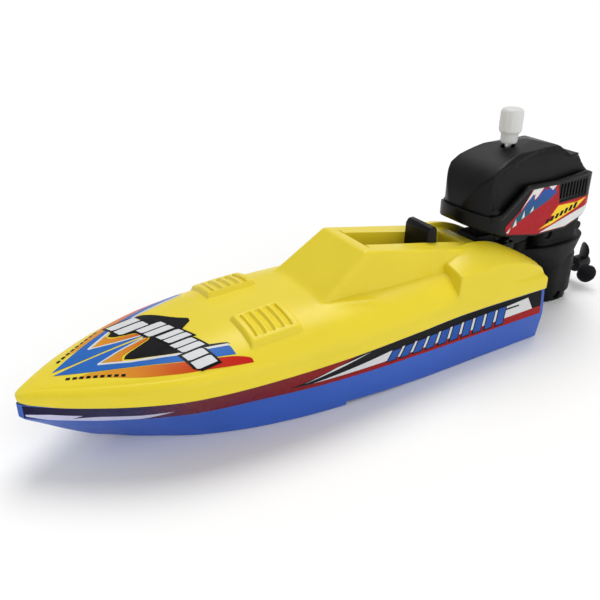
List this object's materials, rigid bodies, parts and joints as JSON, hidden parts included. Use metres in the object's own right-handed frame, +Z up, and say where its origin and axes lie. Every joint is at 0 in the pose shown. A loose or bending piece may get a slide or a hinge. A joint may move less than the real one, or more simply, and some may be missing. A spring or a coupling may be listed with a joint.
{
  "type": "toy boat",
  "caption": "Wind-up toy speedboat with a raised cockpit and a steerable clockwork outboard motor that turns a bladed propeller.",
  "frame": {"origin": "middle of the footprint, on the surface the boat stands on", "axes": "+X to the bow, +Y to port, +Z up"},
  "size_m": [0.25, 0.0602, 0.0859],
  "materials": {
    "hull_blue": "satin",
    "deck_yellow": "satin",
    "black_plastic": "satin",
    "sticker_film": "printed film",
    "deck_film": "printed film",
    "cowl_film": "printed film",
    "knob_white": "translucent satin",
    "gear_white": "satin",
    "steel": "bright",
    "spring_steel": "oiled",
    "brass": "bright"
  },
  "bodies": {
    "boat": {"hull_shell": "hull_blue", "deck_shell": "deck_yellow", "cockpit_tray": "black_plastic", "seat": "black_plastic", "transom_bracket": "black_plastic", "bracket_screws": "steel", "hull_screws": "steel", "deck_sticker": "deck_film", "side_sticker_port": "sticker_film", "side_sticker_starboard": "sticker_film"},
    "outboard": {"cowl_hood": "black_plastic", "cowl_pan": "black_plastic", "cowl_sticker_port": "cowl_film", "cowl_sticker_starboard": "cowl_film", "cowl_screws": "steel", "leg_port": "black_plastic", "leg_starboard": "black_plastic", "leg_screws": "steel", "swivel_pin": "steel", "shaft_bushing": "brass", "motor_plate_lower": "steel", "motor_plate_upper": "steel", "motor_pillars": "brass", "mainspring": "spring_steel"},
    "winder": {"winding_knob": "knob_white", "winding_arbor": "steel", "great_wheel": "gear_white"},
    "first_idler": {"first_idler_shaft": "steel", "first_idler_gear": "gear_white"},
    "second_idler": {"second_idler_shaft": "steel", "second_idler_gear": "gear_white"},
    "drive": {"drive_shaft": "steel", "drive_pinion": "gear_white", "crown_wheel": "gear_white"},
    "screw": {"propeller_shaft": "steel", "shaft_pinion": "gear_white", "propeller": "black_plastic"}
  },
  "joints": [
    {"name": "steering", "type": "hinge", "parent": "boat", "child": "outboard", "pos_m": [-0.074, 0, 0.034], "axis": [0, 0, 1], "range_deg": [-30, 30]},
    {"name": "propeller_spin", "type": "hinge", "parent": "outboard", "child": "screw", "pos_m": [-0.12, 0, 0.0104], "axis": [1, 0, 0], "continuous": true},
    {"name": "drive_spin", "type": "hinge", "parent": "outboard", "child": "drive", "pos_m": [-0.094, 0, 0.03], "axis": [0, 0, 1], "continuous": true},
    {"name": "second_idler_spin", "type": "hinge", "parent": "outboard", "child": "second_idler", "pos_m": [-0.08475, 0, 0.05], "axis": [0, 0, 1], "continuous": true},
    {"name": "first_idler_spin", "type": "hinge", "parent": "outboard", "child": "first_idler", "pos_m": [-0.0755, 0, 0.05], "axis": [0, 0, 1], "continuous": true},
    {"name": "winding", "type": "hinge", "parent": "outboard", "child": "winder", "pos_m": [-0.063, 0, 0.06], "axis": [0, 0, 1], "continuous": true}
  ],
  "couplings": [
    {"joint": "drive_spin", "follows": "propeller_spin", "ratio": 0.625},
    {"joint": "second_idler_spin", "follows": "propeller_spin", "ratio": -0.26442},
    {"joint": "first_idler_spin", "follows": "propeller_spin", "ratio": 0.11187},
    {"joint": "winding", "follows": "propeller_spin", "ratio": -0.027968}
  ]
}
